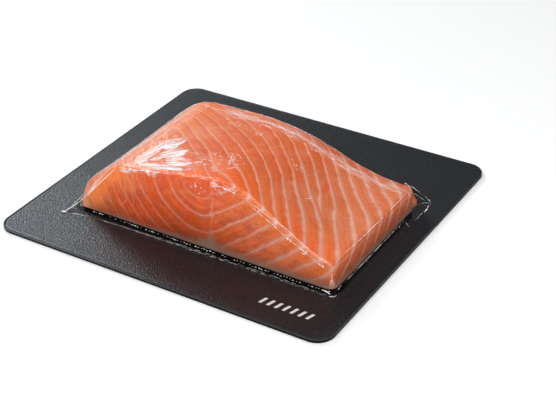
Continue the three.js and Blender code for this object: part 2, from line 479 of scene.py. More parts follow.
def branchShift(x, depth):                     # in flakes: none below the branch, half a flake each way above
    branchX, branchY = flesh["branch"]
    fromX, fromY = x - branchX, depth - (branchY - front)
    across = fromX * 0.72 + fromY * 0.69
    along = fromX * 0.69 - fromY * 0.72
    turn = arcTan(across, along) / (2 * math.pi)
    start, end = flesh["branchRun"]
    fork = (along * -1).step(start, end) * 0.5 * across.sum("SIGN")
    return abs(across).step(3, 14).choose(fork, turn)


def flakeNumbers(x, depth, up):
    # whole numbers of these two fields are the seams: long flakes at the right, rings at the left
    leanFront, leanDeep = flesh["lean"]
    lean = (depth * (-1 / flesh["leanDepth"])).sum("EXPONENT") * (leanFront - leanDeep) + leanDeep
    deep = depth / 40
    leftward = ((10 - x) / 30).most(0)
    leftward = leftward * leftward / (leftward + 0.25)
    run = x + depth * flesh["slant"] + depth * depth * flesh["slantGrowth"] + x * depth * flesh["slantAlong"]
    run = run - deep * deep * deep * flesh["slantReturn"]
    inwards, furtherIn, leftFall, leftShift = flesh["leftCourse"]
    run = run + leftward * (deep * inwards + deep * deep * furtherIn - leftward * leftFall - leftShift)
    run = run - lean * (up - flesh["level"]) + flesh["firstSeam"]
    long = run / flesh["flakeSpacing"] - branchShift(x, depth)
    across = x + depth + depth * depth * flesh["ringSlant"]
    centreX, centreZ = flesh["ringCentre"]
    radius = ((across - centreX) ** 2 + (up - centreZ) ** 2) ** 0.5
    wide, narrow = flesh["ringSpacing"]
    inner = flesh["innerRings"]
    rings = (radius / wide).most((radius - inner * wide) / narrow + inner)
    aside = across - ((up - 23).most(0) * 0.16 + 12.5)
    cusp = (abs(aside) * (-1 / 3)).sum("EXPONENT") * 0.18
    return long + cusp, rings + cusp, aside, radius


def lineMask(number, halfWidth, soft=0.55):    # 1 on whole numbers, fading out at a little over halfWidth
    off = abs(number - number.sum("ROUND"))
    return 1 - (off / halfWidth).step(1 - soft, 1 + soft)


def lineBetween(x, up, start, end, halfWidth):  # a mask of one short seam of the front cut
    (x1, z1), (x2, z2) = start, end
    length = math.hypot(x2 - x1, z2 - z1)
    dx, dz = (x2 - x1) / length, (z2 - z1) / length
    along = (x - x1) * dx + (up - z1) * dz
    off = abs((x - x1) * dz - (up - z1) * dx)
    return (1 - (off / halfWidth).step(0.45, 1.55)) * along.between(-0.6, 0.4, length - 0.4, length + 0.6)


def fleshMaterial():
    material, place = newMaterial("salmonFlesh")
    x, y, z = place.parts()
    depth, up = y - front, z - deck
    ridge = place.attribute("ridge")
    broad, middle, fine = place.noise(26), place.noise(7.5), place.noise(2.2, 3)
    xWavy = x + broad * 5 + middle * 2.6 + fine * 1.0
    long, rings, aside, radius = flakeNumbers(xWavy, depth, up)
    onRight = aside.step(-0.3, 0.3)
    number = onRight.choose(rings, long)
    onCut = 1 - depth.step(0.0, 1.1)
    rightward = (x - depth * 0.1).step(-5, 70)
    nearRidge = (1 - ridge.step(0.8, 2.8)) * x.step(14, 24)
    onSide = x.step(76.2, 77.6)

    # colour between the seams
    tone = (broad * 1.3 + middle * 1.1 + 0.5).step(0.25, 0.75)
    colour = tone.blend(flesh["orange"], flesh["pink"])
    leftTop = (x * -1 + depth * 0.5).step(0, 55) * (1 - onCut)
    paler = leftTop * (depth.step(15, 70) * 0.3 + 0.06) + tone * leftTop * 0.16
    colour = paler.blend(colour, flesh["pale"])
    colour = (rightward * 0.7).blend(colour, flesh["ochre"])
    warm = (1 - depth.step(3, 26)) * x.step(-16, 6)
    colour = (warm * 0.88).blend(colour, flesh["warm"])
    cutColour = (x + middle * 30).step(0, 45).blend(flesh["cut"], flesh["cutRight"])
    cutColour = (x * -1).step(42, 64).blend(cutColour, flesh["cutTip"])
    colour = (onCut * (1 - tone * 0.35)).blend(colour, cutColour)
    colour = (onSide * 0.6).blend(colour, flesh["side"])
    behindBand = y.step(22, 26) * x.step(-5, 30)
    colour = (behindBand * 0.4).blend(colour, flesh["deep"])
    bend = x.between(-52, -46, -36, -28) * (1 - onCut)
    colour = (bend * 0.45).blend(colour, flesh["golden"])
    flank = (x * -1).step(44, 53) * depth.step(0, 3)
    colour = (flank * 0.5).blend(colour, flesh["flank"])
    blotches = joined(x, y, up * 1.5).noise(4.5, 4, 0.65)
    fresh = onCut.most(onSide)
    patches = joined(x + 40, y, up * 1.3).noise(8.5, 2)
    brown = joined(x, y + 50, up * 1.2).noise(9, 2)
    goldenHere = (1 - ridge.step(8, 18)) * (1 - x.step(10, 40) * 0.5) + onSide * 0.6
    colour = (patches.step(0.0, 0.13) * fresh * goldenHere * 0.5).blend(colour, flesh["golden"])
    colour = ((patches * -1).step(0.02, 0.15) * fresh * 0.45).blend(colour, flesh["ember"])
    colour = (brown.step(0.0, 0.14) * fresh * ridge.step(4, 10) * 0.42).blend(colour, flesh["brown"])
    colour = (blotches.step(0.0, 0.16) * fresh * 0.36).blend(colour, flesh["deep"])
    colour = ((blotches * -1).step(0.0, 0.16) * fresh * 0.3).blend(colour, flesh["pink"])
    flake = number.sum("FRACT")
    colour = (flake.step(0.4, 1.0) * 0.34).blend(colour, flesh["deep"])
    # painted glow: a brighter, warmer band on the cut just under its top edge, for light shining through the
    # thin flesh there
    paintedRidgeGlow = onCut * (1 - (ridge + middle * 14).step(1, 14)) * 0.7
    ridgeGlowColour = (x + middle * 20).step(-40, -18).blend(flesh["glowing"], flesh["paintedRidgeGlow"])
    ridgeGlowColour = (x + middle * 20).step(15, 35).blend(ridgeGlowColour, flesh["golden"])
    colour = paintedRidgeGlow.blend(colour, ridgeGlowColour)
    for oval in flesh["embers"]:
        off = fromOval((x, y, up), *oval) + middle * 1.5
        colour = ((1 - off.step(0.4, 1.3)) * 0.6).blend(colour, flesh["ember"])
    alongSeams = joined(number * 5.5, depth * 0.06, up * 0.06).noise(1.0, 3, 0.6)
    colour = (alongSeams.step(0.0, 0.2) * 0.26).blend(colour, flesh["pale"])
    colour = ((alongSeams * -1).step(0.02, 0.2) * 0.26).blend(colour, flesh["deep"])
    fibres = joined(number * 1.3, (depth - x * 0.66) * 0.95, up * 0.95).noise(1.0, 3, 0.65)
    colour = (fibres.step(0.02, 0.2) * 0.3).blend(colour, flesh["pale"])
    colour = ((fibres * -1).step(0.02, 0.2) * 0.24).blend(colour, flesh["deep"])

    # the seams, with their soft edges
    strength = (middle * 1.1 + fine * 0.5 + 0.72).least(1)
    strength = strength * (1 - onCut * (1 - radius.step(10, 14)) * 0.65)
    strength = strength * (1 - onCut * (1 - x.step(-25, 10)) * 0.3)
    strength = strength * (1 - onCut * (1 - ridge.step(1, 9)) * (1 - x.step(0, 20)) * 0.45)
    width = (rightward * 0.078 + 0.034 + broad * 0.03 + fine * 0.02) * (nearRidge * 1.3 + 1)
    width = width * (1 - onSide * 0.5) * (1 - onCut * 0.25)
    ringWidth = 0.038 + broad * 0.03
    core = onRight.choose(lineMask(rings, ringWidth), lineMask(long, width, 0.7))
    forks = anyOf(lineBetween(xWavy, up, *ends, 0.42) for ends in flesh["forks"])
    core = core.most(forks * onCut * 0.8)
    middleSeam = (1 - (abs(aside) / 0.5).step(0.4, 1.6)) * up.step(10, 24) * onCut * 0.6
    core = core.most(middleSeam)
    for nodeX, nodeZ, size in flesh["nodes"]:
        off = ((x - nodeX) ** 2 + (up - nodeZ) ** 2) ** 0.5 + middle * 1.5
        core = core.most((1 - (off / size).step(0.3, 1.5)) * onCut)
    halo = onRight.choose(lineMask(rings, ringWidth * 3, 0.9), lineMask(long, width * 2.6, 0.9))
    seamColour = rightward.blend(flesh["seamColour"], flesh["thickSeamColour"])
    colour = (halo * strength * 0.3).blend(colour, seamColour)
    colour = (core * strength * (0.84 - onCut * 0.08)).blend(colour, seamColour)
    knots = lineMask(long, 0.06 + fine * 0.08, 0.9) * (1 - (ridge + middle * 2).step(0.4, 2.2))
    colour = (knots * x.step(16, 26) * 0.6).blend(colour, flesh["knot"])

    # darker low down, with the grey skin that runs along the base
    centre = (((x - 2) / 24) ** 2 * -1).sum("EXPONENT")
    dim = (1 - up.step(1.5, 10)) * 0.5 + (1 - up.step(5, 24)) * centre * 0.45
    colour = (dim * fresh).blend(colour, flesh["dark"])
    wedge = (abs(x + middle * 5 - 11) / -4).sum("EXPONENT") * 9.5
    skin = wedge + (x * -1).step(56, 66) * 3 + x.step(0, 30) * 1.2 + middle * 4 + 2.6
    low = 1 - ((up + fine * 3) / skin).step(0.1, 1.5)
    colour = (low * 0.92).blend(colour, flesh["membrane"])
    for oval in flesh["pads"]:
        off = fromOval((x, y, up), *oval) + fine * 1.5
        colour = ((1 - off.step(0.4, 1.3)) * 0.75).blend(colour, flesh["pad"])
    # painted glow: the cut's left end, near its top edge, gives off a little light of its own, for light
    # shining through the thin flesh
    lit = onCut * (1 - (ridge + middle * 16).step(1, 20)) * (1 - (x + middle * 20).step(-55, -14))
    values = {"Base Color": colour, "Roughness": 0.45, "IOR": 1.36, "Subsurface Weight": 0.15,
              "Subsurface Radius": (1.0, 0.45, 0.3), "Subsurface Scale": 0.0015,
              "Emission Color": lit.blend((0, 0, 0, 1), flesh["throughLight"]), "Emission Strength": 0.17}
    return finishPrincipled(material, place, values)


def makeFillet():
    rings = []
    count, foot, splay = fillet["sideRings"], fillet["footHeight"], fillet["splay"]
    for i in range(1, count + 1):
        rings.append(lambda rim, s=i / count: (s * splay, mix(rim, foot, s)))
    for s in (0.35, 0.7, 1.0):
        angle = s * math.pi / 2
        rings.append(lambda rim, a=angle: (splay - fillet["footInset"] * (1 - math.cos(a)),
                                           foot * (1 - math.sin(a))))
    points, faces = drapedShell(0, rings, True)
    points[:, 2] += deck
    piece = addPiece("salmon_fillet", points, faces, fleshMaterial())
    setRidge(piece, points)
    aboveFoot = smoothStep((points[:, 2] - deck - 1) / 4)
    bumps = ripples(points, fillet["bumps"]) * fillet["unevenness"] * aboveFoot
    shiftAlongNormals(piece, bumps + flare(points) - fillet["underFilm"])
    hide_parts("fillet")
    print("fillet:", len(piece.data.polygons), "faces")


makeFillet()

board = {
    "corner": 9,
    "edgeRound": (0.5, 0.35),                  # of the lower edge, and of the upper one
    "cornerSteps": 24,
    "roundSteps": 6,
    "darkShare": 0.6,                          # of the side's height, given a darker copy of the board's material as painted shade, below a lip with the painted highlight
    "rings": (1.1, 1.45, 1.8),                 # insets of the painted highlight line just inside the edge
    "colour": rgb(17, 18, 21),
    "edgeShadeColour": rgb(9, 9, 10),
    "rimHighlightColour": rgb(84, 84, 88),
    "shine": 0.55,
    "sideShine": 0.03,
    "roughness": 0.395,
    "backRoughness": 0.12,                     # added towards the back
    "wearRoughness": 0.05,
    "grainRoughness": 0.72,
    "grain": 0.8,
    "grainHeight": 0.3,
}


def boardMaterial(name, colour, shine):
    material, place = newMaterial(name)
    flat = place.vector("MULTIPLY", (1, 1, 0.3))
    grain = flat.noise(board["grain"], 1)
    wear = flat.noise(30, 2)
    bumpValues = {"Strength": 1.0, "Distance": board["grainHeight"] * mm, "Height": grain}
    bump = place.make("ShaderNodeBump", None, bumpValues)
    rim = place.attribute("rim")
    edge = place.attribute("edge")
    x, y, _ = place.parts()
    # painted highlight: a lighter line on the rounded top edge and just inside it, strongest at the left and
    # gone towards the right
    wearAndSheen = rim * (wear + 1) * (1 - x.step(-90, 50))
    colour = wearAndSheen.blend(colour, board["rimHighlightColour"])
    # painted shade: along the left end, the upper side, the rounded top edge and a narrow band inside it are
    # made near-black and fully rough
    darkLine = edge * (1 - x.step(-91.5, -89.0))
    colour = darkLine.blend(colour, board["edgeShadeColour"])
    uneven = wear * board["wearRoughness"] + grain * board["grainRoughness"]
    roughness = uneven + y.step(-60, 40) * board["backRoughness"] + board["roughness"]
    roughness = darkLine.choose(roughness, 1.0)
    values = {"Base Color": colour, "Roughness": roughness, "IOR": 1.5, "Specular IOR Level": shine,
              "Specular Tint": (0.86, 0.92, 1.0, 1), "Normal": bump}
    return finishPrincipled(material, place, values)


def boardOutline(width, depth, inset):
    corner = board["corner"]
    turns = np.linspace(0, math.pi / 2, board["cornerSteps"] + 1)
    points = []
    for quarter, (sideX, sideY) in enumerate([(1, -1), (1, 1), (-1, 1), (-1, -1)]):
        angle = turns + math.pi / 2 * (quarter - 1)
        points.append(np.stack([sideX * (width / 2 - corner) + (corner - inset) * np.cos(angle),
                                sideY * (depth / 2 - corner) + (corner - inset) * np.sin(angle)], axis=1))
    return np.concatenate(points)


def makeBoard():
    low, high = (Vector(corner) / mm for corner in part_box("board"))
    width, depth, height = high - low
    lower, upper = board["edgeRound"]
    angles = np.linspace(0, math.pi / 2, board["roundSteps"] + 1)
    levels = [(lower * (1 - math.sin(a)), lower * (1 - math.cos(a))) for a in angles]
    levels += [(0, height * board["darkShare"]), (0, height * board["darkShare"] + 0.02)]
    levels += [(upper * (1 - math.cos(a)), height - upper * (1 - math.sin(a))) for a in angles]
    levels += [(inset, height) for inset in board["rings"]]
    darkLevels = board["roundSteps"] + 1
    firstRing = len(levels) - len(board["rings"])
    points, faces, rim, edge = [], [], [], []
    for level, (inset, z) in enumerate(levels):
        outline = boardOutline(width, depth, inset)
        points.append(np.column_stack([outline, np.full(len(outline), z)]))
        lip = darkLevels < level < darkLevels + 4
        rim += [float(lip or level == firstRing + 1)] * len(outline)
        edge += [float(darkLevels < level <= firstRing)] * len(outline)
    around = len(points[0])
    for level in range(len(levels) - 1):
        a = level * around + np.arange(around)
        b = level * around + np.roll(np.arange(around), -1)
        faces += np.stack([a, b, b + around, a + around], axis=1).tolist()
    last = (len(levels) - 1) * around
    faces.append(list(range(around))[::-1])
    faces.append(list(range(last, last + around)))
    material = boardMaterial("blackBoard", board["colour"], board["shine"])
    piece = addPiece("backing_board", np.concatenate(points), faces, material)
    # painted shade: the lower part of the side gets a darker, duller copy of the board's material
    side = boardMaterial("blackBoardSide", board["edgeShadeColour"], board["sideShine"])
    piece.data.materials.append(side)
    sides = [number < darkLevels * around for number in range(len(faces))]
    piece.data.polygons.foreach_set("material_index", sides)
    for flat in (-1, -2):
        piece.data.polygons[flat].use_smooth = False
    setAttribute(piece.data, "rim", rim)
    setAttribute(piece.data, "edge", edge)
    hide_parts("board")
    print("board:", len(faces), "faces")


makeBoard()

mark = {                                       # the plain printed row near the front edge
    "start": (53.5, -71.3),
    "count": 7,
    "spacing": 4.1,
    "width": 1.5,
    "height": 4.4,
    "lean": 0.3,
    "raised": 0.04,
    "colour": rgb(226, 226, 226),
    "wornColour": rgb(150, 150, 150),
}


def markTree():
    inputs = {"Count": "Int", "Spacing": "Float", "Width": "Float", "Height": "Float", "Lean": "Float",
              "Raised": "Float", "Material": "Material"}
    tree, given = newTree("leaning lozenges", inputs)
    count = given["Count"]
    size = joined(given["Width"], given["Height"], given["Raised"])
    lozenge = count.make("GeometryNodeMeshCube", None, {"Size": size})
    position = count.make("GeometryNodeInputPosition")
    offset = joined(position.parts()[1] * given["Lean"], 0, 0)
    lozenge = count.make("GeometryNodeSetPosition", None, {"Geometry": lozenge, "Offset": offset})
    step = joined(given["Spacing"], 0, 0)
    line = count.make("GeometryNodeMeshLine", None, {"Count": count, "Offset": step})
    start = count.make("GeometryNodeSampleIndex", {"data_type": "FLOAT_VECTOR", "domain": "POINT"},
                       {"Geometry": given["Geometry"], "Value": position})
    line = count.make("GeometryNodeSetPosition", None, {"Geometry": line, "Offset": start})
    row = count.make("GeometryNodeInstanceOnPoints", None, {"Points": line, "Instance": lozenge})
    finishTree(row, given["Material"])
    return tree


def makeMark():
    material, place = newMaterial("whitePrint")
    wearAndSheen = place.noise(0.8, 2).step(-0.2, 0.3) * 0.15
    colour = wearAndSheen.blend(mark["colour"], mark["wornColour"])
    finishPrincipled(material, place, {"Base Color": colour, "Roughness": 0.5})
    x, y = mark["start"]
    start = bpy.data.meshes.new("start")
    start.from_pydata([Vector((x, y, boardTop + mark["raised"] / 2)) * mm], [], [])
    values = {"Count": mark["count"], "Lean": mark["lean"], "Material": material}
    for name in ("Spacing", "Width", "Height", "Raised"):
        values[name] = mark[name.lower()] * mm
    addObject("printed_row", runTree(markTree(), start, values))


makeMark()
print("printed row:", mark["count"], "lozenges")

film = {
    "gap": 0.15,
    "wall": 0.05,
    "lines": (200, 128),
    "sideRings": 20,
    "coveHeight": 1.8,
    "coveReach": 1.9,
    "skirt": 6.55,                             # how far the weld reaches from the straight sides
    "settle": 0.25,                            # how far the welded part lies below the fillet's base
    "faceOn": 0.012,                           # share of light that each wall returns, seen face on
    "edgeOn": 0.12,                            # and added to that, seen edge on
    "foldPaintedWhite": 0.88,
    "webPaintedWhite": 0.03,
    "webPaintedShade": 0.35,
    "coveSteps": (1, 0.8, 0.6, 0.42, 0.26, 0.12, 0.03),
    "wrinkles": [(9, 31, 0.03), (4, 32, 0.012)],
    "bumpHeight": 0.25,
    "panelLines": (30, 14),
    "panelLift": 0.06,                         # of the drawn-out film, above the board
    "panelSag": 0.16,
    "pleats": (3.5, 0.07),                     # size and height
    "fanFrom": (-43, -53),                     # creases fan out over the top from this corner
    "fanPatches": [                            # ovals: centre and size, where the film is creased and a painted glare is laid on it
        ((-34, -31), (3.4, 18)),
        ((-29.5, -21), (4.5, 8)),
        ((-23, -29), (6, 7)),
        ((-15, -37.5), (8, 5)),
        ((-20, -45.5), (14, 2.8)),
        ((-27.5, -38), (2.6, 2.2)),
    ],
    "fanCreases": 0.07,                        # angle between two creases
    "creaseHeight": 0.05,
    "sparkles": [                              # patches of painted glints: centre and size, with heights
        ((20, -50, 36), (9, 6, 5)),
        ((4, -50, 33), (7, 4, 3.5)),
        ((-3, -25, 38), (10, 9, 9)),
        ((9, -24, 38), (5, 8, 8)),
        ((47, -18, 28), (4, 4, 8)),
        ((-14, 13, 36), (7, 3, 9)),
        ((3, 7, 36), (6, 4, 9)),
        ((33, -3, 33), (9, 5, 9)),
        ((2, -38, 38), (13, 8, 9)),
        ((-40, -35, 32), (5, 14, 9)),
    ],
}


def filmMaterial(name, paintedWhite=0.0, paintedShade=0.0):
    material, place = newMaterial(name)
    x, y, z = place.parts()
    up = z - deck
    ridge = place.attribute("ridge")
    middle, fine = place.noise(6), place.noise(1.3, 3, 0.6)
    fromX, fromY = x - film["fanFrom"][0], y - film["fanFrom"][1]
    radius = (fromX * fromX + fromY * fromY) ** 0.5
    angle = arcTan(fromY, fromX) + middle * 0.09 + fine * 0.02
    streaks = joined(angle / film["fanCreases"], radius / 14, up / 14).noise(1.0, 5, 0.7) + middle * 0.25
    patch = anyOf(1 - (fromOval((x, y), *oval) + middle * 2.4 - streaks * 1.8 + fine * 0.8).step(0.6, 1.2)
                  for oval in film["fanPatches"])
    patch = patch * up.step(20, 26) * (y - front).step(0.2, 1.6)
    smears = joined(x / 12, y / 1.0, up / 5).noise(1.0, 3, 0.6)
    backBand = y.between(17, 22, 25, 29) * x.step(-32, -24) * up.step(8, 10)
    across = x * 0.65 + z * 0.75
    pulled = joined(across / 0.8, y / 26, 0.0).noise(1.0, 3, 0.6)
    bend = (x * -1).step(37, 42) * up.step(6, 12)
    height = streaks * patch * 2.2 + fine * 0.22 + smears * backBand * 1.2 + pulled * bend * 0.3
    bumpValues = {"Strength": 1.0, "Distance": film["bumpHeight"] * mm, "Height": height}
    bump = place.make("ShaderNodeBump", None, bumpValues)
    clear = place.make("ShaderNodeBsdfTransparent", None, {"Color": (1, 1, 1, 1)})
    glossValues = {"Color": (1, 1, 1, 1), "Roughness": 0.09, "Normal": bump}
    gloss = place.make("ShaderNodeBsdfAnisotropic", None, glossValues)
    facing = place.make("ShaderNodeLayerWeight", None, {"Blend": 0.5, "Normal": bump}, 1)
    dull = (bend * 0.85).most((1 - (y - front).step(-0.3, 1.0)) * 0.6)
    share = facing ** 5 * (1 - bend * 0.6) * film["edgeOn"] + (1 - dull) * film["faceOn"]
    surface = place.make("ShaderNodeMixShader", None, {0: share, 1: clear, 2: gloss})
    # painted highlights: on the fan of creases, the streaks behind, the sparkles and along the front ridge,
    # the film is mixed towards a white that gives off a little light
    whiteValues = {"Base Color": (0.92, 0.89, 0.89, 1), "Roughness": 0.4, "Emission Color": (1, 1, 1, 1),
                   "Emission Strength": paintedWhite * 0.25}
    white = place.make("ShaderNodeBsdfPrincipled", None, whiteValues)
    threads = joined(angle / 0.03, radius / 6, up / 6).noise(1.0, 3, 0.6)
    paintedGlints = patch * ((streaks + threads * 0.45).step(-0.07, 0.07) * 0.66 + 0.12)
    paintedGlints = paintedGlints.most(backBand * smears.step(0.0, 0.16) * (0.5 - x.step(-12, 6) * 0.3))
    band = (1 - abs(y - middle * 4 - 22.8).step(0.5, 2.6)) * x.between(-31, -22, 66, 77)
    second = (1 - abs(y - middle * 5 - 19.6).step(0.2, 1.1)) * x.between(6, 12, 50, 62)
    strips = band.most(second * 0.8) * up.step(8, 10)
    paintedGlints = paintedGlints.most(strips * (smears.step(-0.14, 0.12) * 0.3 + 0.06) * (1 - x.step(0, 60) * 0.45))
    squiggles = (1 - abs(place.noise(3.0, 3, 0.6)).step(0.01, 0.04)) * place.noise(1.6, 2).step(0.05, 0.11)
    sparkle = anyOf(1 - (fromOval((x, y, up), *oval) + middle * 0.8).step(0.35, 1.1)
                    for oval in film["sparkles"])
    paintedGlints = paintedGlints.most(sparkle * squiggles * 0.8)
    scallops = (1 - (ridge + middle * 5).step(0.6, 2.2)) * x.between(-42, -36, -25, -15)
    paintedGlints = paintedGlints.most(scallops * (place.noise(2.6, 3, 0.6).step(-0.02, 0.1) * 0.74 + 0.04))
    paintedGlints = paintedGlints.most(bend * pulled.step(0.08, 0.25) * 0.12)
    paintedGlints = paintedGlints.most((fine * middle.step(-0.1, 0.4)).step(0.14, 0.22) * 0.3 * up.step(3, 8))
    if paintedWhite:
        paintedGlints = paintedGlints.most(paintedWhite)
    surface = place.make("ShaderNodeMixShader", None, {0: paintedGlints, 1: surface, 2: white})
    # painted shadow: in its cove along the fillet's base the film is mixed towards near-black, most strongly
    # along the front
    dark = place.make("ShaderNodeBsdfDiffuse", None, {"Color": (0.004, 0.0035, 0.0035, 1)})
    shade = up.between(-0.2, -0.1, 0.8, 1.5) * (0.85 - y.step(front + 2, front + 12) * 0.5)
    if paintedWhite:
        shade = paintedShade
    surface = place.make("ShaderNodeMixShader", None, {0: shade, 1: surface, 2: dark})
    return finishMaterial(material, surface)


def fanHeight(points):                         # the larger creases of the fan
    x, y, z = points.T
    patch = 0
    for oval in film["fanPatches"]:
        patch = np.maximum(patch, 1 - smoothStep((fromOval((x, y), *oval) - 0.2) / 1.1))
    turn = np.arctan2(y - film["fanFrom"][1], x - film["fanFrom"][0]) / (film["fanCreases"] * 2.5)
    wander = ripple(points, 14, 21) * 0.8
    return np.sin(2 * math.pi * turn + wander) * patch * smoothStep((z - deck - 20) / 6)


def coveRing(s, lift):
    reach, high = film["coveReach"], film["coveHeight"]
    return lambda rim: (film["gap"] + fillet["splay"] + reach * (1 - s) ** 2,
                        s * np.minimum(high, 0.7 * rim) + lift)


def leaveLight(piece):                         # clear film hardly shades what lies under it
    piece.visible_shadow = False
    piece.visible_diffuse = False


def thicken(piece):                            # a closed wall, inwards
    wall = piece.modifiers.new("wall", "SOLIDIFY")
    wall.thickness = film["wall"] * mm
    wall.offset = -1


def makeFilm(material):
    rings = []
    count = film["sideRings"]
    for i in range(1, count):
        s = i / count
        rings.append(lambda rim, s=s: (film["gap"] + fillet["splay"] * s,
                                       mix(rim, np.minimum(film["coveHeight"], 0.7 * rim), s)))
    for s in film["coveSteps"]:
        rings.append(coveRing(s, 0.05 - film["settle"] * (1 - s)))
    outer = film["skirt"]
    rings.append(lambda rim: (outer - 2, 0.02 - film["settle"]))
    rings.append(lambda rim: (outer, 0.01 - film["settle"]))
    points, faces = drapedShell(film["gap"], rings, False, film["lines"])
    points[:, 2] += deck
    piece = addPiece("clear_film", points, faces, material)
    setRidge(piece, points)
    wrinkles = ripples(points, film["wrinkles"]) + fanHeight(points) * film["creaseHeight"]
    aboveWeld = smoothStep((points[:, 2] - deck - 0.5) / 3)
    shiftAlongNormals(piece, wrinkles * aboveWeld + flare(points))
    leaveLight(piece)
    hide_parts("film")
    print("film:", len(piece.data.polygons), "faces")
    return piece


clearFilm = filmMaterial("clearFilm")
# painted highlight: the creases are near-white and faintly glowing, for the glint along each fold
paintedGlintFilm = filmMaterial("paintedGlintFilm", film["foldPaintedWhite"])
# painted shade and sheen: the drawn-out film is darkened over the board, with a faint painted white
webFilm = filmMaterial("webFilm", film["webPaintedWhite"], film["webPaintedShade"])
mainFilm = makeFilm(clearFilm)

# film drawn out from the corners to the board: each panel lies between an upper and a lower line
leftTip, rightTip = (-71.8, -58.6, 2.4), (82.8, 39.3, 2.4)
filmPanels = {
    "left_front": {
        "high": [leftTip, (-69.3, -54.4, 4.0), (-65.6, -51.0, 7.6)],
        "low": [leftTip, (-67.0, -57.3, 2.3), (-61.0, -55.0, 2.3)],
    },
    "right_side": {
        "high": [rightTip, (80.4, 35.6, 4.6), (77.4, 28.5, 8.6)],
        "low": [rightTip, (83.6, 31.0, 2.3), (82.6, 20.5, 2.3)],
    },
    "right_back": {
        "high": [rightTip, (76.8, 38.6, 6.6), (68.6, 35.6, 12.0)],
        "low": [rightTip, (74.0, 43.0, 2.3), (63.5, 40.5, 2.3)],
    },
    "side_fold": {
        "high": [(83.6, 14.6, 2.5), (81.0, 16.6, 3.0), (79.0, 18.4, 3.2)],
        "low": [(83.5, 14.5, 2.45), (81.4, 14.6, 2.5), (79.4, 15.0, 2.6)],
    },
}


def curveThrough(points, count):               # an even curve through three or four points
    points = np.array(points, float)
    chords = np.linalg.norm(np.diff(points, axis=0), axis=1)
    places = np.concatenate([[0], np.cumsum(chords)]) / chords.sum()
    t = np.linspace(0, 1, count)
    return np.stack([np.polyval(np.polyfit(places, axis, len(points) - 1), t) for axis in points.T], axis=1)


def makePanel(name, panel, seed):
    steps, across = film["panelLines"]
    lowest = boardTop + film["panelLift"]
    pleatSize, pleatHeight = film["pleats"]
    high, low = curveThrough(panel["high"], steps), curveThrough(panel["low"], steps)
    share = np.linspace(0, 1, across)[None, :, None]
    points = mix(high[:, None], low[:, None], share)
    width = np.linalg.norm(high - low, axis=1)[:, None]
    sag = film["panelSag"] * width * 4 * share[..., 0] * (1 - share[..., 0])
    points[..., 2] = np.maximum(lowest, points[..., 2] - sag)
    pleats = ripple(points.reshape(-1, 3), pleatSize, seed).reshape(steps, across) * pleatHeight
    points[..., 2] = np.maximum(lowest, points[..., 2] + pleats * share[..., 0] * (width > 0.5))
    index = np.arange(steps * across).reshape(steps, across)
    points, faces = points.reshape(-1, 3), gridFaces(index).tolist()
    piece = addPiece("film_" + name, points, faces, webFilm)
    leaveLight(piece)
    thicken(piece)


for number, (name, panel) in enumerate(filmPanels.items()):
    makePanel(name, panel, 40 + number)
print("drawn-out film:", len(filmPanels), "panels")


def onRidge(x, drop=0.0, inward=0.0):          # a place on the front ridge, or below or behind it
    top = topAt(np.array([float(x)]), np.array([front + inward]))[0]
    return (x, front + inward, top[2] + deck - drop)


def onTop(x, y):
    top = topAt(np.array([float(x)]), np.array([float(y)]))[0]
    return (x, y, top[2] + deck)


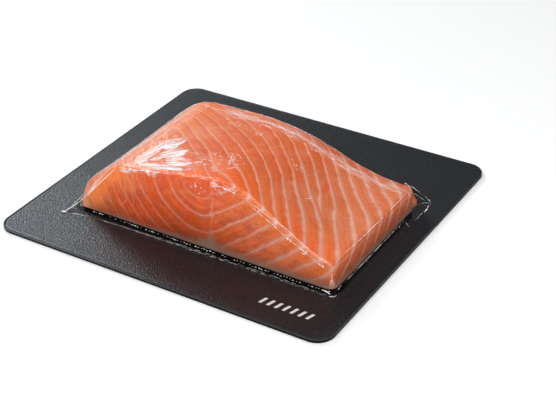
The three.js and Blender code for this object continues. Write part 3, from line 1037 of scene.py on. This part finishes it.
# creases: a route, the half width, how far it wanders, how broken it is (0 to 2), and 1 where it
# keeps to the film
creases = [
    ([onRidge(18, 0.1, 0.5), onRidge(50, 0, 0.4), onRidge(76, 0.2, 0.4)], 0.075, 0.35, 0.7, 1),
    ([onRidge(30, 1.9), onRidge(52, 2.3), onRidge(74, 1.9)], 0.1, 0.4, 1.6, 1),
    ([onRidge(12, 1.2), onRidge(20, 2.0), onRidge(30, 1.4)], 0.12, 1.2, 1.5, 1),
    ([onRidge(-8, 0, 0.3), onRidge(6, 0, 0.3), onRidge(21, 0, 0.4)], 0.13, 0.8, 1.7, 1),
    ([onRidge(-42, 0, 0.3), onRidge(-25, 0.2, 0.3), onRidge(-6, 0, 0.4)], 0.16, 0.8, 1.6, 1),
    ([(-65.6, -51.0, 7.6), (-55.5, -50.6, 18.5), (-43.0, -50.0, 31.5)], 0.24, 0.25, 0.3, 1),
    ([(-62.5, -51.0, 10.0), (-57.0, -50.8, 18.2), (-53.0, -49.5, 24.0)], 0.14, 0.3, 0.5, 1),
    ([(-62.0, -51.0, 10.4), (-58.6, -49.4, 17.5), (-57.0, -47.0, 20.0)], 0.13, 0.2, 0.3, 1),
    ([(-60.6, -50.9, 12.6), (-58.6, -50.8, 15.0), (-57.0, -50.7, 17.0)], 0.34, 0.1, 0.2, 1),
    ([leftTip, (-69.3, -54.4, 4.0), (-65.6, -51.0, 7.6)], 0.18, 0.1, 0.3, 0),
    ([leftTip, (-70.6, -53.4, 3.6), (-67.0, -48.0, 9.0)], 0.1, 0.1, 0.6, 0),
    ([leftTip, (-66.5, -57.6, 2.35), (-58.0, -55.8, 2.35)], 0.08, 0.4, 1.5, 0),
    ([(-73.0, -59.4, 2.4), (-71.8, -58.8, 2.6), (-70.4, -58.2, 2.4)], 0.42, 0.2, 0.4, 0),
    ([onTop(-40.5, -44), onTop(-41.5, -12), onTop(-38.5, 18)], 0.08, 0.8, 1, 1),
    ([(-64.9, -40.0, 16.2), (-65.0, -8.0, 15.8), (-65.0, 16.0, 16.0)], 0.13, 0.3, 0.7, 1),
    ([(-64.4, -26.0, 16.9), (-64.4, -4.0, 16.6), (-63.6, 18.0, 17.4)], 0.07, 0.4, 1.4, 1),
    ([(-64.4, 19.0, 16.8), (-58.4, 26.8, 22.0), (-45.0, 30.6, 30.2)], 0.12, 0.3, 0.9, 1),
    ([(-44.0, 30.7, 30.4), (0.0, 31.2, 30.6), (38.0, 31.9, 21.0)], 0.08, 0.4, 1.2, 1),
    ([onTop(-47, -46), onTop(-48.5, -10), onTop(-44.5, 22)], 0.1, 0.5, 0.7, 1),
    ([onTop(-52, -44), onTop(-52.5, -12), onTop(-50, 12)], 0.12, 0.4, 0.6, 1),
    ([onTop(76.6, -46), onTop(77, -12), onTop(76.6, 24)], 0.1, 0.6, 1.6, 1),
    ([(77.2, -50.0, 15.8), (77.9, -50.8, 11.0), (78.3, -51.0, 6.5)], 0.09, 0.3, 1.3, 1),
    ([(76.2, -51.2, 4.0), (77.2, -50.8, 8.6), (78.2, -50.6, 4.4)], 0.08, 0.2, 1.2, 1),
    ([(73.0, -52.2, 3.2), (75.6, -52.4, 3.1), (78.0, -53.0, 2.8)], 0.28, 0.2, 0.2, 0),
    ([(77.5, -54.2, 2.5), (79.6, -53.6, 2.6), (80.4, -51.6, 2.6)], 0.14, 0.3, 0.6, 0),
    ([onTop(-26, 26), onTop(8, 22.5), onTop(42, 24.5)], 0.05, 1.5, 1.8, 1),
    ([onTop(-22, 22.5), onTop(16, 17.5), onTop(52, 21.5)], 0.045, 1.4, 1.8, 1),
    ([onTop(4, 26), onTop(36, 20.5), onTop(73, 25)], 0.045, 1.4, 1.7, 1),
    ([onTop(5, -20), onTop(8, -26), onTop(11.5, -33)], 0.2, 0.5, 1.1, 1),
    ([(68.0, 39.0, 9.8), (70.4, 40.0, 8.8), (72.0, 40.2, 7.4)], 0.2, 0.8, 1.4, 0),
    ([(70.6, 40.2, 8.6), (73.4, 41.4, 6.2), (77.0, 40.2, 5.2)], 0.1, 1.3, 1.5, 0),
    ([(76.0, 40.6, 5.4), (79.8, 41.2, 3.8), rightTip], 0.1, 1.0, 1.4, 0),
    ([(40.0, 40.4, 3.0), (56.0, 41.6, 3.4), (69.0, 40.6, 7.0)], 0.07, 1.2, 1.6, 0),
    ([(73.5, 37.0, 7.4), (77.2, 38.4, 5.0), (80.6, 38.6, 3.6)], 0.06, 1.2, 1.5, 0),
    ([rightTip, (83.5, 34.0, 2.8), (83.4, 29.0, 2.5)], 0.22, 1.0, 1.5, 0),
    ([(83.6, 31.0, 2.6), (83.4, 26.0, 2.5), (83.3, 20.5, 2.4)], 0.1, 1.0, 1.6, 0),
    ([rightTip, (80.6, 34.0, 4.4), (79.0, 28.0, 5.6)], 0.05, 0.8, 1.4, 0),
    ([(79.0, 18.4, 3.2), (81.0, 16.6, 3.0), (83.6, 14.6, 2.5)], 0.07, 0.6, 1.4, 0),
    ([(-66.0, -56.4, 2.4), (0.0, -53.8, 2.5), (77.0, -53.9, 2.5)], 0.045, 0.3, 1.8, 0),
    ([(-58.0, -55.6, 2.4), (10.0, -54.6, 2.5), (77.0, -54.6, 2.5)], 0.055, 0.4, 1.9, 0),
    ([(79.6, -49.5, 3.6), (79.7, -15.0, 3.6), (79.6, 18.0, 3.6)], 0.1, 0.3, 1.3, 1),
    ([(-66.8, -51.8, 4.5), (-66.2, -52.0, 4.2), (-65.4, -52.1, 4.0)], 0.26, 0.1, 0.2, 0),
]

scribbles = [                                  # patches of short creases: centre, size, how many
    ((-2, -30), (20, 12), 14),
    ((10, 21), (50, 5), 22),
]
ridgeKnots = [14, 15.5, 21, 26, 30, 38.5, 47, 55, 63, 71.5]  # where the film gathers on the front ridge
creasesAtKnot = 9


def scribbleRoutes():
    random = np.random.default_rng(12)
    routes = []
    for centre, size, count in scribbles:
        for _ in range(count):
            x, y = np.array(centre) + np.array(size) * random.uniform(-1, 1, 2)
            fromFan = math.atan2(y - film["fanFrom"][1], x - film["fanFrom"][0])
            turn = (fromFan if y < 10 else 0.0) + random.normal(0, 0.45)
            run = random.uniform(1.2, 5.0)
            dx, dy = run * math.cos(turn), run * math.sin(turn)
            ends = [onTop(x + dx * t, max(front + 0.3, y + dy * t)) for t in (-0.5, 0, 0.5)]
            routes.append((ends, random.uniform(0.06, 0.11), 0.8, 1, 1))
    for x in ridgeKnots:
        for _ in range(creasesAtKnot):
            centre = np.array(onRidge(x, 1.4)) + random.uniform(-1.2, 1.2, 3)
            turn = random.uniform(0, math.pi)
            reach = random.uniform(0.3, 1.1) * np.array([math.cos(turn), 0, math.sin(turn)])
            ends = [centre - reach, centre, centre + reach]
            routes.append((ends, random.uniform(0.06, 0.16), 0.8, 0.6, 1))
    return routes


def creaseTree():                              # lines laid on the film, drawn as thin uneven folds
    inputs = {"Film": "Object", "Step": "Float", "Sides": "Int", "Material": "Material"}
    tree, given = newTree("film creases", inputs)
    line = given["Geometry"].make("GeometryNodeMeshToCurve", None, {"Mesh": given["Geometry"]})
    lengths = {"Curve": line, "Length": given["Step"]}
    line = line.make("GeometryNodeResampleCurve", {"mode": "LENGTH"}, lengths)
    position = line.make("GeometryNodeInputPosition")
    along = line.make("GeometryNodeSplineParameter")
    fields = {}
    for name in ("halfWidth", "wander", "broken", "keeps", "phase"):
        settings = {"data_type": "FLOAT"}
        fields[name] = line.make("GeometryNodeInputNamedAttribute", settings, {"Name": name})
    moved = position.vector("ADD", joined(fields["phase"], 0.0, 0.0))
    drift = moved.make("ShaderNodeTexNoise", {"noise_dimensions": "3D"},
                       {"Vector": moved, "Scale": 1 / (6 * mm), "Detail": 3.0}, 1)
    drift = drift.vector("SUBTRACT", (0.5, 0.5, 0.5)).scaled(2 * mm).scaled(fields["wander"])
    rough = position.vector("ADD", drift)
    sheet = line.make("GeometryNodeObjectInfo", {"transform_space": "RELATIVE"}, {"Object": given["Film"]}, 4)
    nearest = line.make("GeometryNodeProximity", {"target_element": "FACES"}, {0: sheet, 2: rough})
    settings = {"data_type": "VECTOR", "clamp_factor": True}
    final = line.make("ShaderNodeMix", settings, {0: fields["keeps"], 4: rough, 5: nearest}, 1)
    line = line.make("GeometryNodeSetPosition", None, {"Geometry": line, "Position": final})
    breaks = moved.make("ShaderNodeTexNoise", {"noise_dimensions": "3D"},
                        {"Vector": moved, "Scale": 1 / (2.6 * mm), "Detail": 2.0}).step(0.3, 0.68)
    taper = (along * math.pi).sum("SINE") ** 0.5
    radius = fields["halfWidth"] * fields["broken"].choose(1.0, breaks * 1.25 + 0.1).most(0.03) * taper * mm
    ring = line.make("GeometryNodeCurvePrimitiveCircle", {"mode": "RADIUS"},
                     {"Resolution": given["Sides"], "Radius": 1.0})
    values = {"Curve": line, "Profile Curve": ring, "Scale": radius, "Fill Caps": True}
    tube = line.make("GeometryNodeCurveToMesh", None, values)
    finishTree(tube, given["Material"])
    return tree


def makeCreases():
    points, edges = [], []
    fields = {"halfWidth": [], "wander": [], "broken": [], "keeps": [], "phase": []}
    routes = creases + scribbleRoutes()
    for number, (route, *numbers) in enumerate(routes):
        curve = curveThrough(route, 24)
        edges += [(len(points) + i, len(points) + i + 1) for i in range(len(curve) - 1)]
        points += curve.tolist()
        for name, value in zip(fields, (*numbers, number * 0.05)):
            fields[name] += [value] * len(curve)
    mesh = bpy.data.meshes.new("routes")
    mesh.from_pydata((np.array(points) * mm).tolist(), edges, [])
    for name, values in fields.items():
        setAttribute(mesh, name, values)
    values = {"Film": mainFilm, "Step": 0.45 * mm, "Sides": 6, "Material": paintedGlintFilm}
    result = runTree(creaseTree(), mesh, values)
    piece = addObject("film_creases", result)
    print("creases:", len(routes), "lines,", len(piece.data.polygons), "faces")


makeCreases()

beads = {                                      # small blisters where the film turns onto the board, near-white and faintly glowing as painted glints
    "spacing": 1.7,
    "chance": 0.75,                            # of a blister at each place along the front
    "sideChance": 0.1,
    "size": 0.2,
    "stretch": (1.4, 4.5),
    "jitter": 0.2,
    "out": 1.1,                                # beyond the fillet's base
    "up": 0.65,
    "seed": 7,
    "colours": (rgb(236, 238, 236), rgb(186, 190, 190)),
}


def beadTree():
    inputs = {"Spacing": "Float", "Size": "Float", "Shortest": "Float", "Longest": "Float", "Jitter": "Float",
              "Seed": "Int", "Material": "Material"}
    tree, given = newTree("blisters along the weld", inputs)
    shape, seed = given["Geometry"], given["Seed"]
    line = shape.make("GeometryNodeMeshToCurve", None, {"Mesh": shape})
    spots = {0: line, "Length": given["Spacing"]}
    node = line.make("GeometryNodeCurveToPoints", {"mode": "LENGTH"}, spots)
    turn = Wire(tree, node.socket.node.outputs["Rotation"])
    chance = line.make("GeometryNodeInputNamedAttribute", {"data_type": "FLOAT"}, {"Name": "chance"})

    def random(low, high, shift):
        values = {2: low, 3: high, "Seed": seed + shift}
        return line.make("FunctionNodeRandomValue", {"data_type": "FLOAT"}, values, 1)

    absent = chance.make("FunctionNodeCompare", {"data_type": "FLOAT", "operation": "LESS_THAN"},
                         {0: chance, 1: random(0.0, 1.0, 1)})
    points = node.make("GeometryNodeDeleteGeometry", {"domain": "POINT"}, {0: node, 1: absent})
    offset = joined(random(-1.0, 1.0, 2), random(-1.0, 1.0, 3), random(-1.0, 1.0, 4))
    offset = offset.scaled(given["Jitter"])
    points = points.make("GeometryNodeSetPosition", None, {"Geometry": points, "Offset": offset})
    size = random(0.45, 1.0, 5) * given["Size"]
    scale = joined(size, size, size * random(given["Shortest"], given["Longest"], 6))
    blister = shape.make("GeometryNodeMeshUVSphere", None, {"Segments": 8, "Rings": 5, "Radius": 1.0})
    blister = shape.make("GeometryNodeSetShadeSmooth", None, {"Geometry": blister})
    values = {"Points": points, "Instance": blister, "Rotation": turn, "Scale": scale}
    finishTree(points.make("GeometryNodeInstanceOnPoints", None, values), given["Material"])
    return tree


def baseRoute(out, up):                        # the fillet's outline, moved outwards
    s = fillet["shoulder"]
    xs = edgeLines(left, right, s["left"], s["right"], 120)
    ys = edgeLines(front, back, s["front"], s["back"], 90)
    gx = np.concatenate([xs, np.full(len(ys), right), xs[::-1], np.full(len(ys), left)])
    gy = np.concatenate([np.full(len(xs), front), ys, np.full(len(xs), back), ys[::-1]])
    px, py, nx, ny = placeInPlan(gx, gy)
    beyond = fillet["splay"] + out
    return np.stack([px + nx * beyond, py + ny * beyond, np.full(len(px), deck + up)], axis=1)


def makeBeads():
    # painted glints: the blisters are near-white and give off a little light
    material, place = newMaterial("glintPaintedBlister")
    tint = place.noise(1.5, 2).step(-0.2, 0.2).blend(*beads["colours"])
    values = {"Base Color": tint, "Roughness": 0.25,
              "Emission Color": (1, 1, 1, 1), "Emission Strength": 0.25}
    finishPrincipled(material, place, values)
    points = baseRoute(beads["out"], beads["up"])
    x, y, _ = points.T
    atFront = (y < front) & (x > left + 10)
    mesh = bpy.data.meshes.new("route")
    mesh.from_pydata((points * mm).tolist(), [(i, i + 1) for i in range(len(points) - 1)], [])
    atLeft = x < left + 6
    chances = np.where(atFront, beads["chance"], np.where(atLeft, 0, beads["sideChance"]))
    setAttribute(mesh, "chance", chances)
    values = {"Spacing": beads["spacing"] * mm, "Size": beads["size"] * mm, "Shortest": beads["stretch"][0],
              "Longest": beads["stretch"][1], "Jitter": beads["jitter"] * mm, "Seed": beads["seed"],
              "Material": material}
    piece = addObject("weld_blisters", runTree(beadTree(), mesh, values))
    print("blisters:", len(piece.data.polygons), "faces")


makeBeads()
thicken(mainFilm)

studio = {
    "lens": 88.15,
    "azimuth": 32.19,
    "elevation": 32.75,
    "roll": -1.246,
    "distance": 683.5,
    "target": (17.43, 0.22, 0),
    "floor": 3000,                             # from the middle to each side
    "floorDrop": 0.02,                         # below the board's underside
    "world": 0.15,
    "lights": {                                # from: azimuth, elevation and distance
        "key_soft": {"from": (60, 31, 1300), "size": (364, 150), "radiance": 29.0, "tint": (0.92, 0.97, 1)},
        "left_soft": {"from": (95, 50, 1100), "size": (600, 600), "radiance": 1.3},
        "top_soft": {"from": (-100, 72, 900), "size": (500, 500), "radiance": 4.0},
        "front_fill": {"from": (175, 40, 1100), "size": (650, 400), "radiance": 6.0},
        "side_fill": {"from": (-112, 22, 1100), "size": (500, 300), "radiance": 3.0},
        "back_strip": {"from": (48, 14, 900), "size": (80, 100), "radiance": 16.0, "aim": (-22, -30, 35)},
    },
}


def makeFloor():
    material, place = newMaterial("paleFloor")
    tone = (place.noise(400, 2) * 0.1 + 0.5).blend((0.9, 0.9, 0.9, 1), (0.93, 0.93, 0.93, 1))
    values = {"Base Color": tone, "Roughness": 0.8, "Emission Color": (1, 1, 1, 1), "Emission Strength": 0.15}
    finishPrincipled(material, place, values)
    half, z = studio["floor"], -studio["floorDrop"]
    corners = [(-half, -half, z), (half, -half, z), (half, half, z), (-half, half, z)]
    mesh = bpy.data.meshes.new("floor")
    mesh.from_pydata([Vector(corner) * mm for corner in corners], [], [(0, 1, 2, 3)])
    mesh.materials.append(material)
    floor = bpy.data.objects.new("floor", mesh)
    scene.collection.objects.link(floor)


def direction(azimuth, elevation):             # azimuth from +y towards -x, in degrees
    a, e = math.radians(azimuth), math.radians(elevation)
    return Vector((-math.sin(a) * math.cos(e), math.cos(a) * math.cos(e), math.sin(e)))


def addLight(name, values):
    azimuth, elevation, distance = values["from"]
    width, height = values["size"]
    data = bpy.data.lights.new(name, "AREA")
    data.color = values.get("tint", (1, 1, 1))
    data.shape = "RECTANGLE"
    data.size = width * mm
    data.size_y = height * mm
    data.energy = values["radiance"] * math.pi * data.size * data.size_y
    light = bpy.data.objects.new(name, data)
    towards = direction(azimuth, elevation)
    light.location = (Vector(values.get("aim", (0, 0, 20))) + towards * distance) * mm
    light.rotation_euler = towards.to_track_quat("Z", "Y").to_euler()
    scene.collection.objects.link(light)


def makeLights():
    for name, values in studio["lights"].items():
        addLight(name, values)
    world = bpy.data.worlds.new("studio")
    world.use_nodes = True
    background = world.node_tree.nodes["Background"]
    background.inputs["Color"].default_value = (1, 1, 1, 1)
    background.inputs["Strength"].default_value = studio["world"]
    scene.world = world
    scene.view_settings.view_transform = "Standard"


def makeCamera():
    data = bpy.data.cameras.new("camera")
    data.lens = studio["lens"]
    data.sensor_width = 36
    camera = bpy.data.objects.new("camera", data)
    scene.collection.objects.link(camera)
    backwards = direction(studio["azimuth"] + 180, studio["elevation"])
    sideways = (-backwards).cross(Vector((0, 0, 1))).normalized()
    upwards = sideways.cross(-backwards)
    roll = math.radians(studio["roll"])
    x = math.cos(roll) * sideways + math.sin(roll) * upwards
    y = -math.sin(roll) * sideways + math.cos(roll) * upwards
    place = (Vector(studio["target"]) + backwards * studio["distance"]) * mm
    turned = Matrix((x, y, backwards)).transposed().to_4x4()
    camera.matrix_world = Matrix.Translation(place) @ turned
    scene.camera = camera


makeFloor()
makeLights()
makeCamera()
print("studio ready")

bpy.context.view_layer.update()
